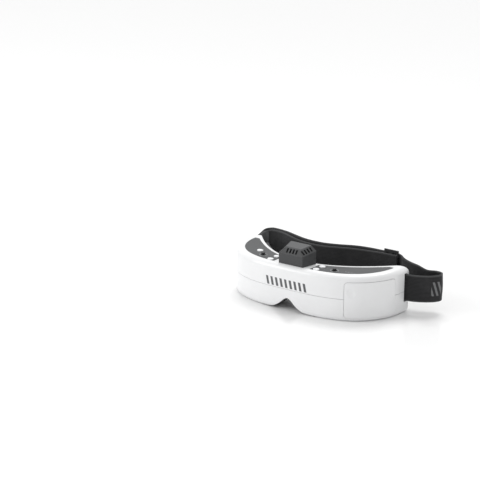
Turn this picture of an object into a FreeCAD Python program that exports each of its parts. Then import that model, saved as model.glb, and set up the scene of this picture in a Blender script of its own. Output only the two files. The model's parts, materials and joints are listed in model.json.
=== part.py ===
import FreeCAD, Part
import Sketcher
import math
import os

# FPV goggles: a two-part white casing with a module bay, a vent cowl with a fan, five buttons,
# two navigation sticks, two sliding optics, a face plate with its foam, and an elastic strap.
# Frame: +Z up, the front faces -Y, X = 0 is the middle plane. The origin is on the resting
# plane, straight under the middle of the front face, in the nose notch.

V = FreeCAD.Vector
doc = FreeCAD.newDocument("fpv_goggles")

# ------------------------------------------------------------------ driving sizes, millimetres
SIZES = {
    # casing
    "body_width": 172.0,
    "body_height": 42.2,
    "side_depth": 56.0,          # from the front face back to where the casing is widest
    "front_squareness": 3.2,     # exponent of the front curve
    "rim_depth": 22.0,           # rear rim behind the front face, in the middle
    "rim_side_depth": 75.4,      # the same, carried on to the side
    "corner_radius": 3.6,
    "top_round": 5.5,
    "bottom_round": 3.6,
    "rim_round": 1.2,
    "wall": 2.0,
    "top_wall": 2.6,
    "seam_height": 20.5,
    "seam_gap": 0.3,
    "lip_height": 1.6,
    "lip_wall": 1.0,
    "nose_height": 12.3,
    "nose_half_width": 36.0,
    "nose_sharpness": 12.3,      # half width of the bell at a third of its height
    # top panels with the buttons
    "panel_front_margin": 5.8,
    "panel_side_margin": 8.5,
    "panel_rear_margin": 2.8,
    "panel_horn_margin": 6.0,    # the same margin at the casing's side
    "panel_end": 55.2,
    "panel_inner_x": 19.6,
    "panel_thickness": 1.2,
    "panel_sink": 0.3,
    "panel_corner": 1.5,
    "panel_gap": 0.12,
    "button_length": 6.0,
    "button_width": 4.8,
    "button_rise": 1.0,          # above the panel
    "button_x": 25.2,
    "front_button_y": 8.9,
    "rear_button_y": 18.6,
    "outer_button_x": 48.5,
    "outer_button_y": 24.2,
    "button_flange": 0.6,
    "button_travel": 0.4,
    "nav_x": 39.5,
    "nav_y": 16.9,
    "nav_radius": 1.2,
    "nav_cap_radius": 1.7,
    "nav_travel": 0.35,
    "nav_hole_radius": 2.3,
    "board_thickness": 1.0,
    # vent cowl and fan
    "cowl_front_y": 4.8,
    "cowl_depth": 17.4,
    "cowl_front_half": 13.2,
    "cowl_rear_half": 16.2,
    "cowl_block_height": 9.5,
    "cowl_slope_height": 5.1,
    "cowl_slope_run": 4.4,
    "cowl_side_run": 5.2,
    "cowl_tilt": 0.15,           # how fast the top rises towards the rear
    "cowl_wall": 1.4,
    "louvre_width": 1.7,
    "louvre_length": 4.4,
    "louvre_pitch": 3.3,
    "fan_size": 14.0,
    "fan_height": 5.0,
    "fan_bore_radius": 6.4,
    "fan_rotor_radius": 5.8,
    "fan_hub_radius": 2.6,
    # module bay
    "bay_angle": 38.0,           # how far the bay looks forward of straight sideways
    "bay_middle": 64.5,          # middle of the bay along the door
    "door_width": 47.7,
    "door_bottom": 3.6,
    "door_top": 36.3,
    "door_corner": 3.0,
    "door_thickness": 1.5,
    "door_proud": 0.4,
    "door_gap": 0.25,
    "door_notch_radius": 4.6,
    "bay_width": 26.0,
    "bay_bottom": 5.0,
    "bay_top": 34.4,
    "bay_floor": 24.7,           # inner end of the bay, along its own axis
    "bay_wall": 1.2,
    # optics
    "eye_spacing": 64.0,
    "eye_travel": 2.5,
    "optic_width": 24.0,
    "optic_depth": 12.0,
    "optic_bottom": 8.5,
    "optic_top": 35.0,
    "optic_front": 8.2,
    "eye_height": 20.5,
    "barrel_radius": 10.5,
    "barrel_wall": 1.4,
    "barrel_length": 7.0,
    "lens_thickness": 4.4,
    "retainer_length": 1.0,
    "display_width": 15.0,
    "display_height": 11.5,
    "display_thickness": 1.2,
    "rail_radius": 1.5,
    "rail_front_y": 10.8,
    "rail_rear_y": 17.6,
    "rail_height": 31.6,
    "rail_gap": 0.05,
    "knob_length": 8.0,
    "knob_width": 5.6,
    "knob_gap": 0.5,
    # face plate, foam and main board
    "plate_inset": 1.5,
    "plate_thickness": 2.0,
    "plate_gap": 0.3,
    "plate_half_width": 78.0,
    "foam_thickness": 9.0,
    "foam_half_width": 73.0,
    "foam_bottom": 4.0,
    "foam_top": 36.5,
    "foam_border": 4.6,
    "foam_nose": 16.0,
    "pcb_half_width": 37.0,
    "pcb_front": 4.6,
    "pcb_thickness": 1.6,
    "pcb_bottom": 15.2,
    "pcb_top": 35.6,
    # strap
    "strap_width": 25.0,
    "strap_thickness": 1.4,
    "strap_bar_radius": 1.5,
    "strap_bar_x": 80.6,
    "strap_bar_y": 61.4,
    "strap_low": 11.3,           # lower edge at the slots
    "strap_gap": 0.35,
    "slider_length": 15.0,
    "slider_bar": 2.2,
    # jacks and screws
    "av_bore_radius": 1.8,
    "dc_bore_radius": 2.75,
    "jack_wall": 1.5,
    "jack_length": 12.0,
    "av_y": 45.0,
    "dc_y": 33.0,
    "jack_height": 12.5,
    "port_y": 42.0,
    "port_height": 29.0,
    "port_width": 11.0,
    "port_thickness": 3.4,
    "card_y": 52.0,
    "card_width": 8.0,
    "card_thickness": 2.0,
    "screw_radius": 1.0,
    "screw_head_radius": 1.9,
    "screw_length": 22.0,
    "screw_front_x": 52.0,
    "screw_front_y": 14.4,
    "screw_rear_x": 75.0,
    "screw_rear_y": 53.5,
    "boss_radius": 2.8,
}

sheet = doc.addObject("Spreadsheet::Sheet", "Sizes")
for row, (name, value) in enumerate(SIZES.items(), start=1):
    sheet.set(f"A{row}", name)
    sheet.set(f"B{row}", str(value))
    sheet.setAlias(f"B{row}", name)
doc.recompute()


class Cells:
    """Reads a size from the sheet by its alias."""

    def __getattr__(self, name):
        return float(sheet.get(name))


c = Cells()
SIDES = {"left": -1, "right": 1}
half_width = c.body_width / 2
top_z = c.body_height
panel_top = top_z - c.panel_sink
panel_bottom = panel_top - c.panel_thickness
ceiling = top_z - c.top_wall
outside = 20.0                     # how far a cutting tool runs past what it cuts
rim_curve = (c.rim_side_depth - c.rim_depth) / half_width ** 2


# ------------------------------------------------------------------ document helpers
def finish(label, shape, base=(0, 0, 0)):
    """A sub-part whose shape is worked out here from the sheet's sizes."""
    feature = doc.addObject("Part::Feature", label)
    feature.Label = label
    feature.Shape = shape
    feature.Placement = FreeCAD.Placement(V(*base), FreeCAD.Rotation()).multiply(shape.Placement)
    return feature


def bound(kind, name, base=(0, 0, 0), axis=(0, 0, 1), **sizes):
    """A Part primitive whose sizes follow expressions on the sheet."""
    solid = doc.addObject(kind, name)
    solid.Label = name
    for prop, text in sizes.items():
        solid.setExpression(prop, text)
    solid.Placement = FreeCAD.Placement(V(*base), FreeCAD.Rotation(V(0, 0, 1), V(*axis)))
    return solid


def cut(name, base, *tools):
    """Takes the tools away from the base, one after the other."""
    for number, tool in enumerate(tools):
        result = doc.addObject("Part::Cut", f"{name}_cut_{number}")
        result.Base = base
        result.Tool = tool
        base = result
    base.Label = name
    return base


def origin_plane(body, role):
    return next(plane for plane in body.Origin.OriginFeatures if plane.Role == role)


def new_sketch(body, name, role="XY_Plane"):
    sketch = body.newObject("Sketcher::SketchObject", name)
    sketch.AttachmentSupport = [(origin_plane(body, role), "")]
    sketch.MapMode = "FlatFace"
    return sketch


def oval(sketch, length, width):
    """A flat-sided oval round the sketch's origin; length and width are expressions."""
    straight, radius = 2.0, 2.0
    right = Part.ArcOfCircle(Part.Circle(V(straight, 0, 0), V(0, 0, 1), radius), -math.pi / 2, math.pi / 2)
    left = Part.ArcOfCircle(Part.Circle(V(-straight, 0, 0), V(0, 0, 1), radius), math.pi / 2, 3 * math.pi / 2)
    top = Part.LineSegment(V(straight, radius, 0), V(-straight, radius, 0))
    bottom = Part.LineSegment(V(-straight, -radius, 0), V(straight, -radius, 0))
    sketch.addGeometry([right, top, left, bottom], False)
    rules = [("Tangent", corner, 2, (corner + 1) % 4, 1) for corner in range(4)]
    rules += [("Symmetric", 0, 3, 2, 3, -1, 1), ("PointOnObject", 0, 3, -1), ("Equal", 0, 2)]
    for rule in rules:
        sketch.addConstraint(Sketcher.Constraint(*rule))
    span = sketch.addConstraint(Sketcher.Constraint("DistanceX", 2, 3, 0, 3, 2 * straight))
    sketch.renameConstraint(span, "span")
    round_end = sketch.addConstraint(Sketcher.Constraint("Radius", 0, radius))
    sketch.renameConstraint(round_end, "round_end")
    sketch.setExpression("Constraints.span", f"{length} - ({width})")
    sketch.setExpression("Constraints.round_end", f"({width}) / 2")


def rectangle(sketch, length, width):
    """A rectangle round the sketch's origin; length and width are expressions."""
    corners = [V(-1, -1, 0), V(1, -1, 0), V(1, 1, 0), V(-1, 1, 0)]
    lines = [Part.LineSegment(corners[i], corners[(i + 1) % 4]) for i in range(4)]
    sketch.addGeometry(lines, False)
    rules = [("Coincident", i, 2, (i + 1) % 4, 1) for i in range(4)]
    rules += [("Horizontal", 0), ("Vertical", 1), ("Horizontal", 2), ("Vertical", 3),
              ("Symmetric", 0, 1, 1, 2, -1, 1)]
    for rule in rules:
        sketch.addConstraint(Sketcher.Constraint(*rule))
    wide = sketch.addConstraint(Sketcher.Constraint("DistanceX", 0, 1, 0, 2, 2))
    sketch.renameConstraint(wide, "wide")
    deep = sketch.addConstraint(Sketcher.Constraint("DistanceY", 1, 1, 1, 2, 2))
    sketch.renameConstraint(deep, "deep")
    sketch.setExpression("Constraints.wide", length)
    sketch.setExpression("Constraints.deep", width)


def circle(sketch, radius):
    """A circle round the sketch's origin; radius is an expression."""
    sketch.addGeometry(Part.Circle(V(0, 0, 0), V(0, 0, 1), 1), False)
    sketch.addConstraint(Sketcher.Constraint("Coincident", 0, 3, -1, 1))
    size = sketch.addConstraint(Sketcher.Constraint("Radius", 0, 1))
    sketch.renameConstraint(size, "size")
    sketch.setExpression("Constraints.size", radius)


def pad(body, name, outline, height, role="XY_Plane", *, start="0"):
    """Pads an outline by height, both expressions, from start above the body's own plane."""
    sketch = new_sketch(body, f"{name}_outline", role)
    outline(sketch)
    sketch.setExpression("AttachmentOffset.Base.z", start)
    feature = body.newObject("PartDesign::Pad", name)
    feature.Profile = sketch
    feature.setExpression("Length", height)
    return feature


def new_body(label, base):
    body = doc.addObject("PartDesign::Body", label)
    body.Label = label
    body.Placement.Base = V(*base)
    return body


# ------------------------------------------------------------------ shape helpers
def block(low, high):
    return Part.makeBox(*(high[i] - low[i] for i in range(3)), V(*low))


def rod(radius, base, length, axis=(0, 0, 1)):
    return Part.makeCylinder(radius, length, V(*base), V(*axis))


def smooth(points, start, end, even=False):
    """A smooth edge through the points, with given directions at its ends."""
    curve = Part.BSplineCurve()
    settings = {"Points": points, "InitialTangent": start, "FinalTangent": end}
    if even:
        last = len(points) - 1
        settings["Parameters"] = [step / last for step in range(last + 1)]
        settings["Scale"] = False
        settings["InitialTangent"] = start * even
        settings["FinalTangent"] = end * even
    curve.interpolate(**settings)
    return curve.toShape()


def polygon(points):
    return Part.makePolygon(list(points) + [points[0]])


def front_y(x, inset=0.0, side_inset=0.0):
    """Depth of the front face at x; the insets shrink the curve from the front and the sides."""
    share = min(abs(x) / (half_width - side_inset), 1.0) ** c.front_squareness
    depth = c.side_depth - inset
    return inset + depth * (1 - math.sqrt(1 - share))


def rim_y(x):
    return c.rim_depth + rim_curve * x * x


def front_edge(inset, z, steps=24):
    """The front face's edge at height z, from the left side round to the right."""
    reach = half_width - inset
    depth = c.side_depth - inset
    points = []
    for step in range(steps + 1):
        turn = math.sin(math.pi * (step / steps - 0.5))
        fall = math.sqrt(max(1 - abs(turn) ** c.front_squareness, 0))
        points.append(V(reach * turn, c.side_depth - depth * fall, z))
    speed = depth * math.pi * math.sqrt(c.front_squareness / 2)
    return smooth(points, V(0, -1, 0), V(0, 1, 0), speed)


def corner_centre(reach, shift):
    """Where the rear rim meets the corner's arc, and the arc's centre."""
    low, high = 0.0, reach
    for _ in range(60):
        x = (low + high) / 2
        slope = 2 * rim_curve * x
        centre_x = x + c.corner_radius * slope / math.hypot(1, slope)
        low, high = (x, high) if centre_x < reach - c.corner_radius else (low, x)
    slope = 2 * rim_curve * x
    touch = V(x, rim_y(x) - shift, 0)
    return touch, V(reach - c.corner_radius, touch.y - c.corner_radius / math.hypot(1, slope), 0)


def shallow_curve(side_x, side_y, middle_y, z):
    """The parabola from (side_x, side_y) through (0, middle_y) to (-side_x, side_y)."""
    curve = Part.BezierCurve()
    curve.setPoles([V(side_x, side_y, z), V(0, 2 * middle_y - side_y, z), V(-side_x, side_y, z)])
    return curve.toShape()


def casing_section(inset, rim_shift, z):
    """The casing's outline at one height, standing in by inset at the front and sides."""
    reach = half_width - inset
    touch, centre = corner_centre(reach, rim_shift)
    direction = (touch - centre).normalize() + V(1, 0, 0)
    middle = centre + direction.normalize() * c.corner_radius
    edges = [front_edge(inset, z)]
    turn = V(reach, centre.y, z)
    right_arc = Part.Arc(turn, V(middle.x, middle.y, z), V(touch.x, touch.y, z)).toShape()
    rim = shallow_curve(touch.x, touch.y, c.rim_depth - rim_shift, z)
    left_arc = Part.Arc(V(-touch.x, touch.y, z), V(-middle.x, middle.y, z), V(-reach, centre.y, z)).toShape()
    edges.append(Part.makeLine(V(reach, c.side_depth, z), turn))
    edges += [right_arc, rim, left_arc]
    edges.append(Part.makeLine(V(-reach, centre.y, z), V(-reach, c.side_depth, z)))
    return Part.Wire(edges)


def open_section(inset, z):
    """A section of the hollow inside, which runs out past the rear rim."""
    reach = half_width - inset
    back = c.rim_side_depth + outside
    edges = [front_edge(inset, z),
             Part.makeLine(V(reach, c.side_depth, z), V(reach, back, z)),
             Part.makeLine(V(reach, back, z), V(-reach, back, z)),
             Part.makeLine(V(-reach, back, z), V(-reach, c.side_depth, z))]
    return Part.Wire(edges)


def levels(depth, low, high):
    """Heights and insets of the sections of a skin that lies depth under the outer one."""
    bottom_radius = c.bottom_round - depth
    top_radius = c.top_round - depth
    top_centre = top_z - c.top_round
    found = []
    for step in range(6):
        angle = math.pi / 2 * step / 5
        found.append((c.bottom_round - bottom_radius * math.cos(angle),
                      c.bottom_round - bottom_radius * math.sin(angle)))
    for share in (0.25, 0.5, 0.75):
        found.append((c.bottom_round + share * (top_centre - c.bottom_round), depth))
    for step in range(7):
        angle = math.pi / 2 * step / 6
        found.append((top_centre + top_radius * math.sin(angle), c.top_round - top_radius * math.cos(angle)))
    inside = [(z, inset) for z, inset in found if low + 0.2 < z < high - 0.2]
    return [(low, skin_inset(low, depth))] + inside + [(high, skin_inset(high, depth))]


def skin_inset(z, depth):
    """Inset of that skin at any height."""
    for radius, drop in ((c.bottom_round, c.bottom_round - z), (c.top_round, z - (top_z - c.top_round))):
        if drop > 0:
            reach = max((radius - depth) ** 2 - drop ** 2, 0)
            return radius - math.sqrt(reach)
    return depth


def rim_inset(z):
    drop = z - (top_z - c.rim_round)
    return c.rim_round - math.sqrt(max(c.rim_round ** 2 - drop ** 2, 0)) if drop > 0 else 0.0


def nose_bell(lift=0.0, height=None, scale=1.0):
    """Everything under the arched lower edge; lift raises the arch by a wall."""
    height = height or c.nose_height
    end = c.nose_half_width * scale
    spread = c.nose_sharpness * scale

    def bell(x):
        return 1 / (1 + (x / spread) ** 2) ** 1.5

    tail = bell(end)
    points = []
    for step in range(-12, 13):
        x = end * step / 12
        points.append(V(x, -outside, lift + height * (bell(x) - tail) / (1 - tail)))
    arch = smooth(points, V(1, 0, 0), V(1, 0, 0))
    far = half_width + outside
    corners = [(end, lift), (far, lift), (far, -outside), (-far, -outside), (-far, lift), (-end, lift)]
    sides = Part.makePolygon([V(x, -outside, z) for x, z in corners])
    face = Part.Face(Part.Wire([arch] + sides.Edges))
    return face.extrude(V(0, c.rim_side_depth + 4 * outside, 0))


def skin(depth, low=0.0, high=None):
    """The casing as a solid block whose skin lies depth under the outer surface."""
    high = top_z if high is None else high
    sections = [casing_section(inset, rim_inset(z), z) for z, inset in levels(depth, low, high)]
    return Part.makeLoft(sections, True, False)


def hollow(depth, low, high):
    """The room inside a wall of the given depth, open to the rear."""
    sections = [open_section(inset, z) for z, inset in levels(depth, low, high)]
    room = Part.makeLoft(sections, True, False)
    return room.cut(nose_bell(low))


def straight_skin(depth, low=None, high=None):
    """The casing between its rounded edges, where its walls stand straight."""
    low = c.bottom_round if low is None else low
    high = top_z - c.top_round if high is None else high
    return Part.Face(casing_section(depth, 0, low)).extrude(V(0, 0, high - low))


def straight_room(depth, low=None, high=None):
    """The room inside a wall of that depth, over the same height."""
    low = c.bottom_round if low is None else low
    high = top_z - c.top_round if high is None else high
    return Part.Face(open_section(depth, low)).extrude(V(0, 0, high - low))


def rim_strip(front, back, reach, low, high):
    """A slab that follows the rear rim between two offsets from it."""
    side = rim_y(reach)
    near, far = (shallow_curve(-reach, side + offset, c.rim_depth + offset, low) for offset in (front, back))
    left, right = (Part.makeLine(V(x, side + front, low), V(x, side + back, low)) for x in (-reach, reach))
    face = Part.Face(Part.Wire([near, right, far, left]))
    return face.extrude(V(0, 0, high - low))


def rounded_slab(width, height, depth, corner):
    """A slab centred on the origin in Y and Z, depth along X, its four long edges rounded."""
    slab = block((0, -width / 2, -height / 2), (depth, width / 2, height / 2))
    edges = [edge for edge in slab.Edges if abs(edge.tangentAt(edge.FirstParameter).x) > 0.99]
    return slab.makeFillet(corner, edges)


# ------------------------------------------------------------------ casing
horn_x = c.plate_half_width + c.plate_gap      # the solid rear corners start here
horn_y = c.side_depth + 1.0
room = hollow(c.wall, c.wall, ceiling)
horns = []
for side in SIDES.values():
    near, far = sorted((side * horn_x, side * (half_width + outside)))
    horns.append(block((near, horn_y, -outside), (far, c.rim_side_depth + 2 * outside, top_z)))
room = room.cut(horns)
casing_cuts = [nose_bell(), room]

# bay frame: the local X axis points out of the bay, local Y runs along the door
bay_turn = FreeCAD.Rotation(V(0, 0, 1), -c.bay_angle)
bay_place = FreeCAD.Placement(bay_turn.multVec(V(0, c.bay_middle, 0)), bay_turn)
door_height = c.door_top - c.door_bottom
door_middle = (c.door_top + c.door_bottom) / 2
bay_height = c.bay_top - c.bay_bottom


def in_bay(shape, z):
    """Moves a shape from the bay's own frame to the casing's, at height z."""
    moved = shape.copy()
    moved.Placement = FreeCAD.Placement(bay_place.Base + V(0, 0, z), bay_turn)
    return moved


def door_tool(gap):
    tool = rounded_slab(c.door_width + 2 * gap, door_height + 2 * gap, 40.0, c.door_corner + gap)
    tool.translate(V(c.bay_floor + 5, 0, 0))
    door_place = FreeCAD.Placement(bay_place.Base + V(0, 0, door_middle), bay_turn)
    tool.Placement = door_place.multiply(tool.Placement)
    return tool


def bay_block(width, height, start, stop):
    shape = block((start, -width / 2, -height / 2), (stop, width / 2, height / 2))
    return in_bay(shape, (c.bay_top + c.bay_bottom) / 2)


door_seat_depth = c.door_thickness - c.door_proud
door_recess = door_tool(c.door_gap).cut(straight_room(door_seat_depth, -outside, top_z + outside))
bay_mouth = bay_block(c.bay_width, bay_height, c.bay_floor, 90.0)
casing_cuts += [door_recess, bay_mouth]

# strap anchors: a pocket for the strap's eye, a slot to the outside and a hole for the bar
slot_half = c.strap_thickness + 2 * c.strap_gap
eye_radius = c.strap_bar_radius + c.strap_gap + c.strap_thickness
pocket_radius = eye_radius + c.strap_gap
slot_low = c.strap_low - 0.8
slot_high = c.strap_low + c.strap_width + 0.8
bar_low = slot_low - 2.5
bar_high = slot_high + 1.6
for side in SIDES.values():
    near, far = sorted((side * c.strap_bar_x, side * (half_width + outside)))
    anchor = (side * c.strap_bar_x, c.strap_bar_y)
    casing_cuts.append(rod(pocket_radius, (*anchor, slot_low), slot_high - slot_low))
    casing_cuts.append(block((near, c.strap_bar_y - slot_half, slot_low),
                             (far, c.strap_bar_y + slot_half, slot_high)))
    casing_cuts.append(rod(c.strap_bar_radius, (*anchor, bar_low), bar_high - bar_low))
casing = skin(0.0).cut(casing_cuts)

# the two halves, with a lip on the lower one behind the seam
wide = half_width + 2 * outside
upper_half = block((-wide, -outside, c.seam_height + c.seam_gap / 2), (wide, 2 * wide, top_z + outside))
lower_half = block((-wide, -outside, -outside), (wide, 2 * wide, c.seam_height - c.seam_gap / 2))
lip_low, lip_high = c.seam_height - 1.5, c.seam_height + c.lip_height
lip_gap = 0.1


def lip_wall(depth, rear, low, high):
    """The inner part of the wall round the front, between two heights."""
    ring = Part.Face(open_section(depth, low)).cut(Part.Face(open_section(c.wall, low)))
    behind = Part.makePlane(2 * wide, 2 * wide, V(-wide, rear, low))
    return ring.cut(behind).Faces[0].extrude(V(0, 0, high - low))


lip_rear = c.side_depth - 4
lip = lip_wall(c.wall - c.lip_wall, lip_rear, lip_low, lip_high).cut(door_tool(3.0))
lip_relief = lip_wall(c.wall - c.lip_wall - lip_gap, lip_rear + lip_gap, c.seam_height, lip_high + lip_gap)
upper_adds, upper_cuts, lower_adds, lower_cuts = [], [], [lip], []

screw_spots = [(side * x, y) for side in SIDES.values()
               for x, y in ((c.screw_front_x, c.screw_front_y), (c.screw_rear_x, c.screw_rear_y))]
rib_x = c.eye_spacing / 2 + c.optic_width / 2 + c.eye_travel + 2.5
rib_wide, rib_front, rib_rear = 3.0, 8.4, 20.0
for x, y in screw_spots:
    upper_adds.append(rod(c.boss_radius, (x, y, c.seam_height + c.seam_gap / 2), ceiling - c.seam_height))
    lower_adds.append(rod(c.boss_radius, (x, y, 1.0), c.seam_height - c.seam_gap / 2 - 1.0))
for side in SIDES.values():
    upper_adds.append(block((side * rib_x - rib_wide / 2, rib_front, c.rail_height - 4),
                            (side * rib_x + rib_wide / 2, rib_rear, ceiling + 0.5)))
rail_reach = rib_x + 0.6
for y in (c.rail_front_y, c.rail_rear_y):
    upper_cuts.append(rod(c.rail_radius, (-rail_reach, y, c.rail_height), 2 * rail_reach, (1, 0, 0)))
screw_seat = 3.0
screw_top = screw_seat + c.screw_length
for x, y in screw_spots:
    upper_cuts.append(rod(c.screw_radius, (x, y, c.seam_height - 1), screw_top - c.seam_height + 1.5))
    lower_cuts.append(rod(c.screw_radius + 0.2, (x, y, -1), c.seam_height + 2))
    lower_cuts.append(rod(c.screw_head_radius + 0.3, (x, y, -1), screw_seat + 1))


# ------------------------------------------------------------------ top panels
def panel_shape(low, high, shrink=0.0, reach=None):
    """A top panel on the right-hand side, shrunk by a margin all round."""
    front_margin = c.panel_front_margin + shrink
    inner = c.panel_inner_x + shrink
    end = half_width - c.panel_side_margin - shrink
    outline = []
    for step in range(4, 17):
        angle = math.pi / 2 * step / 16
        outline.append(V(end * math.sin(angle) ** (2 / c.front_squareness),
                         c.side_depth - (c.side_depth - front_margin) * math.cos(angle), low))
    front = smooth([V(0, front_margin, low)] + outline, V(1, 0, 0), V(0, 1, 0))
    far = 2 * c.side_depth
    rest = Part.makePolygon([outline[-1], V(end, far, low), V(0, far, low), V(0, front_margin, low)])
    piece = Part.Face(Part.Wire([front] + rest.Edges)).extrude(V(0, 0, high - low))
    near_rim = c.rim_depth - c.panel_rear_margin - shrink
    side_rim = c.rim_side_depth - c.panel_horn_margin - shrink
    rear = shallow_curve(half_width, side_rim, near_rim, low)
    behind = Part.makePolygon([V(half_width, side_rim, low), V(half_width, 2 * far, low),
                               V(-half_width, 2 * far, low), V(-half_width, side_rim, low)])
    rear_face = Part.Face(Part.Wire([rear] + behind.Edges))
    last = reach if reach else half_width
    piece = piece.cut(rear_face.extrude(V(0, 0, high - low)))
    piece = piece.common(block((inner, 0, low), (last, c.panel_end - shrink, high)))
    upright = [edge for edge in piece.Edges
               if edge.BoundBox.ZLength > (high - low) * 0.9 and edge.Length < (high - low) * 1.1]
    return piece.makeFillet(c.panel_corner, upright)


def mirrored(shape, side):
    return shape if side > 0 else shape.mirror(V(0, 0, 0), V(1, 0, 0))


def oval_prism(length, width, x, y, low, high):
    """A flat-sided oval column."""
    straight = (length - width) / 2
    body = block((x - straight, y - width / 2, low), (x + straight, y + width / 2, high))
    ends = [rod(width / 2, (x + end * straight, y, low), high - low) for end in (-1, 1)]
    return body.fuse(ends).removeSplitter()


def button_spots(side):
    spots = {"front": (side * c.button_x, c.front_button_y), "rear": (side * c.button_x, c.rear_button_y)}
    if side < 0:
        spots["outer"] = (side * c.outer_button_x, c.outer_button_y)
    return spots


button_gap = 0.2
board_top = ceiling - 1.2
for name, side in SIDES.items():
    upper_cuts.append(mirrored(panel_shape(panel_bottom, top_z + 1, -c.panel_gap), side))
    panel = mirrored(panel_shape(panel_bottom, panel_top), side)
    board = mirrored(panel_shape(board_top - c.board_thickness, board_top, 2.0, c.outer_button_x + 5), side)
    rib_near, rib_far = sorted((side * (rib_x - rib_wide / 2 - 0.3), side * (rib_x + outside)))
    board = board.cut(block((rib_near, 0, 0), (rib_far, rib_rear + 0.3, top_z)))
    hole_size = c.button_length + 2 * button_gap, c.button_width + 2 * button_gap
    for x, y in button_spots(side).values():
        hole = oval_prism(*hole_size, x, y, ceiling - 3, top_z + 1)
        upper_cuts.append(hole)
        panel = panel.cut(hole)
    nav = (side * c.nav_x, c.nav_y)
    upper_cuts.append(rod(4.4, (*nav, ceiling - 1), c.top_wall + 2))
    panel = panel.cut(rod(c.nav_hole_radius, (*nav, panel_bottom - 1), 4))
    finish(f"top_panel_{name}", panel)
    finish(f"button_board_{name}", board)

fan_y = c.cowl_front_y + c.cowl_depth / 2
upper_cuts.append(rod(c.fan_bore_radius - 0.8, (0, fan_y, ceiling - 1), c.top_wall + 2))

# ------------------------------------------------------------------ openings of the lower half
eye_x = c.eye_spacing / 2
optic_middle = c.optic_front + c.optic_depth / 2
knob_low = 0.8
for side in SIDES.values():
    reach = c.knob_length / 2 + c.eye_travel + c.knob_gap
    lower_cuts.append(block((side * eye_x - reach, optic_middle - c.knob_width / 2 - c.knob_gap, -1),
                            (side * eye_x + reach, optic_middle + c.knob_width / 2 + c.knob_gap, 6)))


def side_socket(y, z):
    """Where a socket's outer end lies on the left side of the casing."""
    share = 1 - ((c.side_depth - min(y, c.side_depth)) / c.side_depth) ** 2
    return V(-half_width * share ** (1 / c.front_squareness), y, z)


outer_skin = straight_skin(0.0)
jacks = {"av_jack": (c.av_y, c.av_bore_radius), "dc_jack": (c.dc_y, c.dc_bore_radius)}
for label, (y, bore) in jacks.items():
    mouth = side_socket(y - bore - c.jack_wall, c.jack_height)
    start = V(mouth.x - 6, y, c.jack_height)
    tube = rod(bore + c.jack_wall, start, c.jack_length + 6, (1, 0, 0))
    lower_cuts.append(tube)
    jack = tube.common(outer_skin).cut(rod(bore, start, c.jack_length + 4, (1, 0, 0)))
    finish(label, jack)

ports = {"video_port": (c.port_y, c.port_width, c.port_thickness, 7.0),
         "card_slot": (c.card_y, c.card_width, c.card_thickness, 9.0)}
for label, (y, width, thick, depth) in ports.items():
    mouth = side_socket(y, c.port_height)
    frame_wall = 0.7
    slab = block((mouth.x - 6, y - width / 2, c.port_height - thick / 2),
                 (mouth.x + depth, y + width / 2, c.port_height + thick / 2))
    mouth_width, mouth_thick = width / 2 - frame_wall, thick / 2 - frame_wall
    mouth_hole = block((mouth.x - 7, y - mouth_width, c.port_height - mouth_thick),
                       (mouth.x + depth - 1.5, y + mouth_width, c.port_height + mouth_thick))
    upper_cuts.append(slab)
    finish(label, slab.common(outer_skin).cut(mouth_hole))

upper = casing.common(upper_half).fuse(upper_adds).cut(upper_cuts + [lip_relief])
lower = casing.common(lower_half).fuse(lower_adds).cut(lower_cuts)
finish("upper_shell", upper)
finish("lower_shell", lower)

# ------------------------------------------------------------------ module bay
door_back = door_seat_depth - 0.05
door = door_tool(0.0).common(straight_room(-c.door_proud, -outside, top_z + outside))
door = door.cut(straight_room(door_back, -outside, top_z + outside))
dish_x, dish_z, dish_depth = 61.7, 26.8, 0.5
slope = (front_y(dish_x + 0.1) - front_y(dish_x - 0.1)) / 0.2
outward = V(slope, -1, 0).normalize()
dish_ball = (c.door_notch_radius ** 2 + dish_depth ** 2) / (2 * dish_depth)
dish_spot = V(dish_x, front_y(dish_x), dish_z) + outward * (c.door_proud + dish_ball - dish_depth)
door = door.cut(Part.makeSphere(dish_ball, dish_spot))
finish("module_bay_cover", door)

tray_width, tray_height = c.bay_width + 2 * c.bay_wall, bay_height + 2 * c.bay_wall
tray_block = bay_block(tray_width, tray_height, c.bay_floor - c.bay_wall, 60.0)
tray = tray_block.common(straight_room(c.wall + 0.15)).cut(bay_mouth)
finish("module_bay_tray", tray)

pin_pitch, pin_count = 2.54, 9
header_length = pin_pitch * pin_count + 0.5
header = block((c.bay_floor, -header_length / 2, -1.3), (c.bay_floor + 2.5, header_length / 2, 1.3))
for number in range(pin_count):
    y = (number - (pin_count - 1) / 2) * pin_pitch
    header = header.fuse(block((c.bay_floor + 2.5, y - 0.32, -0.32), (c.bay_floor + 8.0, y + 0.32, 0.32)))
finish("module_pin_header", in_bay(header, c.bay_bottom + 6.0))


# ------------------------------------------------------------------ vent cowl and fan
def cowl_rise(y):
    """How much higher the cowl's tilted top is at y than at its front."""
    return c.cowl_tilt * (y - c.cowl_front_y)


def cowl_plan(wall, z, run_y=0.0, run_x=0.0):
    """The cowl's outline at one height inside a wall, drawn in by its slopes and tilted above the base."""
    front, rear = c.cowl_front_y + wall + run_y, c.cowl_front_y + c.cowl_depth - wall - run_y / 4
    front_half, rear_half = c.cowl_front_half - wall - run_x, c.cowl_rear_half - wall - run_x
    corners = [(-front_half, front), (front_half, front), (rear_half, rear), (-rear_half, rear)]
    return polygon([V(x, y, z + cowl_rise(y) if z > top_z else z) for x, y in corners])


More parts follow.
